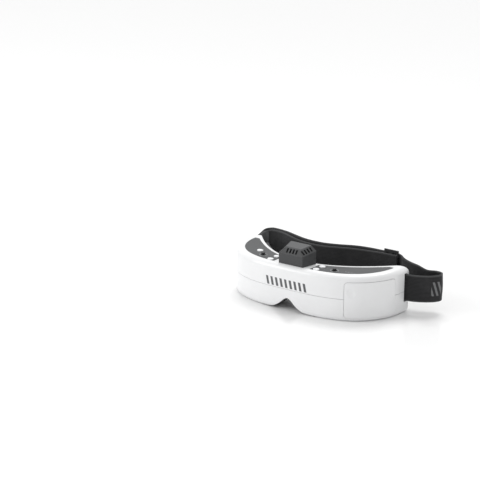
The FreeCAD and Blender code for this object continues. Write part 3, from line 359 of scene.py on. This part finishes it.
def board_finish():
    """Circuit board: dark green solder mask with copper traces and pads under it."""
    finish = Finish("circuit_board", IOR=1.52, Coat_Weight=0.4, Coat_Roughness=0.15)
    vector, *_ = finish.place()
    cells = finish.node("ShaderNodeTexVoronoi", {"distance": "MANHATTAN", "feature": "F1"},
                        {"Vector": vector, "Scale": 240.0})
    traces = finish.node("ShaderNodeTexVoronoi", {"distance": "CHEBYCHEV", "feature": "DISTANCE_TO_EDGE"},
                         {"Vector": vector, "Scale": 420.0})
    trace = traces.fall(0.04, 0.07)
    pad = cells.fall(0.10, 0.12)
    base = finish.mix(trace, (0.012, 0.055, 0.030), (0.020, 0.095, 0.050))
    finish.feed("Base Color", finish.mix(pad, base, (0.62, 0.55, 0.38)))
    finish.feed("Metallic", pad)
    finish.feed("Roughness", 0.34 + pad * 0.08)
    finish.feed("Normal", finish.bump(trace + pad, 0.03 * MM))
    return finish


def metal_finish(name, base, roughness):
    """Turned and plated metal with faint drawn lines."""
    finish = Finish(name, Metallic=1.0)
    vector, *_ = finish.place()
    lines = finish.noise(finish.scaled(vector, (40.0, 2600.0, 2600.0)), 1.0, 2.0, 0.6)
    cloudy = finish.noise(vector, 120.0, 3.0, 0.6)
    finish.feed("Base Color", finish.mix(cloudy, shade(base, 0.85), base))
    finish.feed("Roughness", roughness + (lines - 0.5) * 0.12)
    finish.feed("Normal", finish.bump(lines, 0.004 * MM))
    return finish


def glass_finish(name, tint, roughness):
    """Coated optical glass over a dark chamber."""
    finish = Finish(name, IOR=1.52, Coat_Weight=1.0, Coat_Roughness=0.02)
    vector, *_ = finish.place()
    smear = finish.noise(vector, 90.0, 4.0, 0.6)
    finish.feed("Base Color", finish.mix(smear, shade(tint, 0.9), shade(tint, 1.3)))
    finish.feed("Roughness", roughness + smear * 0.05)
    return finish


def webbing_finish(strap):
    """Ribbed elastic webbing: ribs crossed by picks, a painted highlight along both edges, a woven motif and
    a pale patch at the left fold.
    """
    finish = Finish("webbing", IOR=1.45, Sheen_Weight=0.35, Sheen_Roughness=0.45,
                    Sheen_Tint=(0.6, 0.6, 0.62, 1.0), Specular_IOR_Level=0.3)
    weave = finish.node("ShaderNodeUVMap", {"uv_map": "weave"})
    parts = finish.node("ShaderNodeSeparateXYZ", (), {0: weave})
    along, across = parts, parts.output(1)
    vector, x, y, z = finish.place()
    rib = across / strap.rib
    column = rib.maths("FLOOR")
    lengthwise = abs((rib * math.pi).sine())
    pick = along / strap.pick + (column * 0.5)
    stitch = abs((pick * math.pi).sine())
    cloth = lengthwise * 0.62 + lengthwise * stitch * 0.38
    fuzz = finish.noise(vector, 3600.0, 3.0, 0.7)
    cloudy = finish.noise(vector, 90.0, 4.0, 0.6)
    edge_distance = (strap.width / 2) - abs(across - strap.width / 2)
    # painted highlight: a greyer band just inside each edge and a lighter rim on the edge itself, where the
    # edges catch the light
    painted_edge_highlight = edge_distance.within(0.35 * MM, 1.35 * MM, 0.12 * MM)
    fold = edge_distance.fall(0.30 * MM, 0.42 * MM)
    base = finish.mix(cloth.rise(0.1, 0.9), shade(strap.thread, 0.45), shade(strap.thread, 1.25))
    base = finish.mix(cloudy.rise(0.45, 0.75) * 0.5, base, shade(strap.thread, 1.7))
    base = finish.mix((painted_edge_highlight + fold * 0.7) * (0.35 + cloth * 0.45), base, tuple(strap.edge_thread))
    slant = (along + across * 0.30) / (4.2 * MM)
    bars = slant.fraction().within(0.12, 0.58, 0.05)
    motif = bars * along.within(40 * MM, 49 * MM, 0.2 * MM) * across.within(6 * MM, 19 * MM, 0.2 * MM)
    # a lighter grey patch on the upper part of the left fold
    label = x.within(-89 * MM, -80.5 * MM, 0.2 * MM) * z.within(28.5 * MM, 41.5 * MM, 0.2 * MM)
    pale = motif.larger(label * y.rise(74 * MM, 74.3 * MM) * 0.45) * (0.55 + cloth * 0.45)
    base = finish.mix(pale, base, (0.20, 0.203, 0.207))
    finish.feed("Base Color", finish.mix(fuzz.rise(0.6, 0.8) * 0.25, base, shade(strap.edge_thread, 1.1)))
    finish.feed("Roughness", 0.78 + (fuzz - 0.5) * 0.2)
    relief = cloth + (fuzz - 0.5) * 0.35
    finish.feed("Normal", finish.bump(relief, 0.16 * MM, 0.9))
    return finish


def foam_finish(strap):
    """Soft knitted fabric over foam."""
    finish = Finish("foam", IOR=1.4, Sheen_Weight=0.6, Sheen_Roughness=0.5,
                    Sheen_Tint=(0.5, 0.5, 0.52, 1.0), Specular_IOR_Level=0.2)
    vector, *_ = finish.place()
    knit = finish.node("ShaderNodeTexVoronoi", {"feature": "F1"},
                       {"Vector": finish.scaled(vector, (1.0, 1.0, 0.7)), "Scale": 1150.0})
    fuzz = finish.noise(vector, 3200.0, 3.0, 0.7)
    cloudy = finish.noise(vector, 70.0, 4.0, 0.6)
    base = finish.mix(knit.rise(0.1, 0.7), shade(strap.foam, 1.35), shade(strap.foam, 0.55))
    finish.feed("Base Color", finish.mix(cloudy.rise(0.4, 0.75) * 0.5, base, shade(strap.foam, 1.8)))
    finish.feed("Roughness", 0.86 + (fuzz - 0.5) * 0.2)
    finish.feed("Normal", finish.bump(0.5 - knit * 0.5 + fuzz * 0.3, 0.22 * MM, 0.9))
    return finish


# ------------------------------------------------------------------ helpers for pieces
def deselect():
    for item in bpy.context.view_layer.objects:
        item.select_set(False)


def activate(piece):
    deselect()
    piece.select_set(True)
    bpy.context.view_layer.objects.active = piece


def apply_modifiers(piece):
    activate(piece)
    for modifier in list(piece.modifiers):
        bpy.ops.object.modifier_apply(modifier=modifier.name)


def dress(finish, *nodes):
    """Puts a finish on CAD nodes."""
    for name in nodes:
        piece = frame["nodes"][name]
        piece.data.materials.clear()
        piece.data.materials.append(finish.material)


def smooth_line(points, step):
    """A smooth line through the points, sampled every step; rows of x, y and z."""
    points = np.array(points, float)
    padded = np.vstack([2 * points[0] - points[1], points, 2 * points[-1] - points[-2]])
    rows = []
    for i in range(1, len(padded) - 2):
        before, start, end, after = padded[i - 1:i + 3]
        gaps = [max(np.linalg.norm(b - a), 1e-9) ** 0.5
                for a, b in ((before, start), (start, end), (end, after))]
        lean_in = (start - before) / gaps[0] - (end - before) / (gaps[0] + gaps[1]) + (end - start) / gaps[1]
        lean_out = (end - start) / gaps[1] - (after - start) / (gaps[1] + gaps[2]) + (after - end) / gaps[2]
        t = np.linspace(0, 1, 24, endpoint=False)[:, None]
        rows.append((2 * t**3 - 3 * t**2 + 1) * start + (t**3 - 2 * t**2 + t) * lean_in * gaps[1]
                    + (3 * t**2 - 2 * t**3) * end + (t**3 - t**2) * lean_out * gaps[1])
    line = np.vstack(rows + [points[-1:]])
    travelled = np.concatenate([[0], np.cumsum(np.linalg.norm(np.diff(line, axis=0), axis=1))])
    count = max(2, round(travelled[-1] / step))
    places = np.linspace(0, travelled[-1], count + 1)
    return np.stack([np.interp(places, travelled, line[:, k]) for k in range(3)], axis=1), places


def ribbon(name, stations, width, thickness, wave):
    """Webbing on edge through stations (x, y, height of its lower edge), all in millimetres."""
    line, places = smooth_line(np.array(stations) * MM, 0.5 * MM)
    tangent = np.gradient(line, axis=0)
    tangent[:, 2] = 0
    tangent /= np.linalg.norm(tangent, axis=1)[:, None]
    normal = np.stack([-tangent[:, 1], tangent[:, 0], np.zeros(len(line))], axis=1)
    total = places[-1]
    slack = np.clip(np.minimum(places, total - places) / (25 * MM), 0, 1)
    columns = 20
    bpy.ops.mesh.primitive_grid_add(x_subdivisions=len(line) - 1, y_subdivisions=columns, size=1)
    piece = bpy.context.active_object
    piece.name = piece.data.name = name
    mesh = piece.data
    mesh.uv_layers[0].name = "weave"
    flat = np.empty(len(mesh.vertices) * 3)
    mesh.vertices.foreach_get("co", flat)
    flat = flat.reshape(-1, 3)
    row = np.rint((flat[:, 0] + 0.5) * (len(line) - 1)).astype(int)
    share = flat[:, 1] + 0.5
    ripple = wave * slack * (np.sin(places / (6.1 * MM)) * 0.6 + np.sin(places / (14.3 * MM) + 1.3))
    curl = 0.25 * MM * slack * np.sin(places / (11.0 * MM) + 0.7)
    cup = 0.22 * MM * np.cos(share * 2 * math.pi)
    out = ripple[row] * (0.6 + 0.4 * share) + cup
    spot = line[row] + normal[row] * out[:, None]
    spot[:, 2] += share * width + curl[row] * (0.4 + 0.6 * share)
    mesh.vertices.foreach_set("co", spot.ravel())
    vertex = np.empty(len(mesh.loops), int)
    mesh.loops.foreach_get("vertex_index", vertex)
    weave = np.stack([places[row[vertex]], share[vertex] * width], axis=1)
    mesh.uv_layers[0].data.foreach_set("uv", weave.ravel())
    mesh.update()
    wall = piece.modifiers.new("wall", "SOLIDIFY")
    wall.thickness = thickness
    wall.offset = 0
    edge = piece.modifiers.new("edge", "BEVEL")
    edge.width = thickness * 0.36
    edge.segments = 3
    edge.angle_limit = math.radians(50)
    apply_modifiers(piece)
    bpy.ops.object.shade_smooth()
    return piece, total


def puff(piece, pressure, furthest):
    """Swells a closed piece with cloth pressure; no point moves further than allowed."""
    count = len(piece.data.vertices)
    before = np.empty(count * 3)
    piece.data.vertices.foreach_get("co", before)
    scene = bpy.context.scene
    cloth = piece.modifiers.new("swell", "CLOTH")
    cloth.settings.use_pressure = True
    cloth.settings.uniform_pressure_force = pressure
    cloth.settings.effector_weights.gravity = 0
    cloth.point_cache.frame_end = 20
    for number in range(1, 21):
        scene.frame_set(number)
    apply_modifiers(piece)
    scene.frame_set(1)
    after = np.empty(count * 3)
    piece.data.vertices.foreach_get("co", after)
    move = (after - before).reshape(-1, 3)
    reach = np.linalg.norm(move, axis=1)
    move *= (np.minimum(reach, furthest) / np.maximum(reach, 1e-9))[:, None]
    piece.data.vertices.foreach_set("co", before + move.ravel())
    piece.data.update()


# ------------------------------------------------------------------ operators
class GOGGLES_OT_casing(bpy.types.Operator):
    """Finishes the white shells, the bay cover and the dark top parts"""
    bl_idname = "goggles.casing"
    bl_label = "Casing"

    def execute(self, context):
        looks = context.scene.goggles_casing
        dress(shell_finish(looks, "shell_white", mark=True), "upper_shell")
        dress(shell_finish(looks, "shell_white_lower", notch=True), "lower_shell")
        dress(shell_finish(looks, "cover_white"), "module_bay_cover")
        dress(panel_finish(looks, -1), "top_panel_left")
        dress(panel_finish(looks, 1), "top_panel_right")
        dress(cowl_finish(looks), "vent_cowl")
        return {"FINISHED"}


class GOGGLES_OT_controls(bpy.types.Operator):
    """Finishes the buttons, sticks, sockets, screws and strap fittings"""
    bl_idname = "goggles.controls"
    bl_label = "Controls and fittings"

    def execute(self, context):
        looks = context.scene.goggles_casing
        buttons = [name for name in frame["nodes"] if name.startswith("button_") and "board" not in name]
        dress(moulded("button_white", looks.button, 0.36, 0.9 * MM, 0.008 * MM, coat=0.2), *buttons)
        sticks = [name for name in frame["nodes"] if name.startswith("nav_")]
        dress(moulded("stick_black", (0.018, 0.018, 0.019), 0.45, 0.35 * MM, 0.02 * MM), *sticks)
        dress(moulded("slider_black", (0.022, 0.022, 0.023), 0.42, 0.4 * MM, 0.02 * MM), "strap_slider",
              "eye_slider_left", "eye_slider_right")
        dress(moulded("jack_black", (0.016, 0.016, 0.017), 0.35, 0.5 * MM, 0.01 * MM),
              "av_jack", "dc_jack", "video_port", "card_slot")
        dress(metal_finish("steel", (0.62, 0.63, 0.65), 0.28), "shell_screws", "strap_bar_left",
              "strap_bar_right", "optic_rail_front", "optic_rail_rear", "fan_axle")
        return {"FINISHED"}


class GOGGLES_OT_insides(bpy.types.Operator):
    """Finishes the optics, boards, fan and module tray"""
    bl_idname = "goggles.insides"
    bl_label = "Insides"

    def execute(self, context):
        black = moulded("black_plastic", (0.016, 0.016, 0.017), 0.55, 0.4 * MM, 0.025 * MM)
        dress(black, "face_plate", "module_bay_tray", "module_pin_header", "fan_frame", "fan_rotor",
              "fan_spider", "buzzer", "optic_holder_left", "optic_holder_right", "lens_retainer_left",
              "lens_retainer_right")
        dress(board_finish(), "main_board", "button_board_left", "button_board_right", "display_board_left",
              "display_board_right")
        dress(glass_finish("screen_glass", (0.010, 0.012, 0.016), 0.05), "display_left", "display_right")
        dress(glass_finish("lens_glass", (0.020, 0.022, 0.030), 0.02), "lens_left", "lens_right")
        return {"FINISHED"}


class GOGGLES_OT_strap(bpy.types.Operator):
    """Weaves the head strap: one band from the right bar, round the left bar and back to the slider"""
    bl_idname = "goggles.strap"
    bl_label = "Head strap"

    def execute(self, context):
        strap = context.scene.goggles_strap
        low, far = 11.3, 20.9
        bar_x, bar_y, turn = 80.6, 61.4, 2.6
        right_eye = [(bar_x + turn * math.cos(math.radians(a)), bar_y + turn * math.sin(math.radians(a)), low)
                     for a in range(40, 320, 40)]
        left_eye = [(-bar_x - turn * math.cos(math.radians(a)), bar_y + turn * math.sin(math.radians(a)), low)
                    for a in (-50, -90, -130, -180, -230, -270, -310)]
        right_run = [(bar_x + 3.3, bar_y, low), (91.5, 62.6, low), (101.0, 66.8, low + 0.2),
                     (108.6, 72.6, low + 0.4), (112.0, 78.6, low + 0.6), (110.0, 83.4, low + 0.8),
                     (104.4, 84.0, low + 1.0), (96.5, 80.2, low + 1.4), (88.8, 78.4, low + 4.6),
                     (80.6, 78.8, low + 6.2), (72.3, 81.2, low + 7.6), (67.5, 84.0, low + 8.8)]
        outer_run = [(63.5, 85.0, far), (52.0, 84.8, far + 0.2), (36.0, 82.8, far + 0.4),
                     (19.0, 79.0, far + 0.4), (4.0, 74.8, far + 0.2), (-12.0, 71.6, far),
                     (-30.0, 71.8, far), (-45.0, 75.0, far), (-60.0, 80.4, far), (-72.0, 84.2, far - 0.4),
                     (-80.5, 85.0, far - 1.0), (-86.2, 82.0, far - 2.6), (-90.2, 77.0, low + 2.0),
                     (-90.9, 71.0, low + 0.4), (-90.3, 65.4, low), (-88.0, 61.6, low),
                     (-bar_x - 3.3, bar_y - 0.9, low)]
        inner_run = [(-84.4, 62.2, low), (-86.4, 62.9, low), (-87.9, 65.6, low), (-88.4, 70.2, low + 0.4),
                     (-87.9, 75.2, low + 2.0), (-84.6, 79.2, far - 4.0), (-79.0, 81.6, far - 2.2),
                     (-71.0, 80.8, far - 1.6), (-60.0, 77.0, far - 1.4), (-45.0, 71.2, far - 1.6),
                     (-30.0, 67.8, far - 1.8), (-12.0, 67.4, far - 1.8), (4.0, 70.4, far - 1.5),
                     (19.0, 74.8, far - 1.2), (36.0, 79.0, far - 1.0), (48.0, 80.8, far - 1.0),
                     (57.0, 81.2, far - 1.0), (63.8, 81.3, far - 1.0)]
        stations = right_eye + right_run + outer_run + left_eye + inner_run
        band, total = ribbon("head_strap", stations, strap.width, strap.thickness, strap.wave)
        band.data.materials.append(webbing_finish(strap).material)
        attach(band, ROOT)
        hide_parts("strap_right_run", "strap_outer_layer", "strap_inner_layer", "strap_eye_left",
                    "strap_eye_right")
        return {"FINISHED"}


class GOGGLES_OT_foam(bpy.types.Operator):
    """Pads the face: a soft foam ring that swells between its edges"""
    bl_idname = "goggles.foam"
    bl_label = "Face foam"

    def execute(self, context):
        strap = context.scene.goggles_strap
        source = frame["nodes"]["face_foam"]
        foam = source.copy()
        foam.data = source.data.copy()
        foam.name = foam.data.name = "face_pad"
        for key in list(foam.keys()):
            del foam[key]
        foam.parent = None
        context.scene.collection.objects.link(foam)
        foam.data.materials.clear()
        activate(foam)
        bpy.ops.object.mode_set(mode="EDIT")
        bpy.ops.mesh.select_all(action="SELECT")
        bpy.ops.mesh.remove_doubles(threshold=0.005 * MM)
        bpy.ops.object.mode_set(mode="OBJECT")
        remesh = foam.modifiers.new("even", "REMESH")
        remesh.mode = "VOXEL"
        remesh.voxel_size = strap.foam_cell
        soften = foam.modifiers.new("soften", "SMOOTH")
        soften.iterations = 5
        apply_modifiers(foam)
        puff(foam, 4.0, strap.swell)
        round_off = foam.modifiers.new("round", "SMOOTH")
        round_off.iterations = 3
        finer = foam.modifiers.new("finer", "SUBSURF")
        finer.levels = finer.render_levels = 1
        apply_modifiers(foam)
        foam.data.materials.append(foam_finish(strap).material)
        bpy.ops.object.shade_smooth()
        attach(foam, ROOT)
        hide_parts("face_foam")
        return {"FINISHED"}


class GOGGLES_OT_stage(bpy.types.Operator):
    """Lays the pale floor and sets the soft lights and the camera"""
    bl_idname = "goggles.stage"
    bl_label = "Studio"

    def execute(self, context):
        stage = context.scene.goggles_stage
        deselect()
        bpy.ops.mesh.primitive_plane_add(size=stage.floor_size, location=(0, 0, 0))
        floor = context.active_object
        floor.name = "studio_floor"
        paper = Finish("floor_paper", Roughness=0.16, IOR=1.36)
        vector, *_ = paper.place()
        tone = paper.noise(vector, 3.0, 2.0, 0.5)
        paper.feed("Base Color", paper.mix(tone, shade(stage.floor, 0.995), shade(stage.floor, 1.005)))
        floor.data.materials.append(paper.material)
        world = context.scene.world or bpy.data.worlds.new("studio")
        context.scene.world = world
        context.scene.view_settings.view_transform = "Standard"
        world.use_nodes = True
        world.node_tree.nodes["Background"].inputs["Color"].default_value = (1, 1, 1, 1)
        world.node_tree.nodes["Background"].inputs["Strength"].default_value = stage.room
        middle = Vector((0, 0.04, 0.02))
        for name, kind, place, energy in (("key", "SUN", (-0.3, 0.7, 1.2), stage.key),
                                          ("fill", "AREA", (-1.3, -1.2, 0.8), stage.fill_power)):
            bpy.ops.object.light_add(type=kind, location=place)
            lamp = context.active_object
            lamp.name = f"studio_{name}"
            lamp.data.energy = energy
            lamp.rotation_euler = (middle - Vector(place)).to_track_quat("-Z", "Y").to_euler()
            if kind == "SUN":
                lamp.data.angle = math.radians(34)
            else:
                lamp.data.size = 1.0
        azimuth, elevation = math.radians(36), math.radians(17.6)
        back = Vector((math.sin(azimuth) * math.cos(elevation), -math.cos(azimuth) * math.cos(elevation),
                       math.sin(elevation)))
        right = Vector((math.cos(azimuth), math.sin(azimuth), 0))
        up = back.cross(right)
        datum = Vector((0, 0, 42.2 * MM))
        aim = datum - right * 42.4 * MM + up * 23.2 * MM
        spot = datum + back * stage.distance
        bpy.ops.object.camera_add(location=spot)
        camera = context.active_object
        camera.rotation_mode = "QUATERNION"
        camera.rotation_quaternion = (aim - spot).to_track_quat("-Z", "Y")
        camera.data.lens = stage.lens
        camera.data.sensor_width = 36
        camera.data.clip_start = 0.05
        context.scene.camera = camera
        return {"FINISHED"}


class GOGGLES_PT_looks(bpy.types.Panel):
    """Lists the steps that dress the goggles"""
    bl_idname = "GOGGLES_PT_looks"
    bl_label = "FPV goggles"
    bl_space_type = "VIEW_3D"
    bl_region_type = "UI"
    bl_category = "Goggles"

    def draw(self, context):
        for step in STEPS:
            self.layout.operator(step.bl_idname)
        for name, group in SETTINGS.items():
            box = self.layout.box()
            for label in group.__annotations__:
                box.prop(getattr(context.scene, name), label)


STEPS = (GOGGLES_OT_stage, GOGGLES_OT_casing, GOGGLES_OT_controls, GOGGLES_OT_insides, GOGGLES_OT_strap,
         GOGGLES_OT_foam)
CLASSES = (*SETTINGS.values(), *STEPS, GOGGLES_PT_looks)


def register():
    for item in CLASSES:
        bpy.utils.register_class(item)
    for name, group in SETTINGS.items():
        setattr(bpy.types.Scene, name, bpy.props.PointerProperty(type=group))


def unregister():
    for name in SETTINGS:
        delattr(bpy.types.Scene, name)
    for item in reversed(CLASSES):
        bpy.utils.unregister_class(item)


def main():
    register()
    for step in STEPS:
        area, label = step.bl_idname.split(".")
        getattr(getattr(bpy.ops, area), label)()


if __name__ == "__main__":
    main()
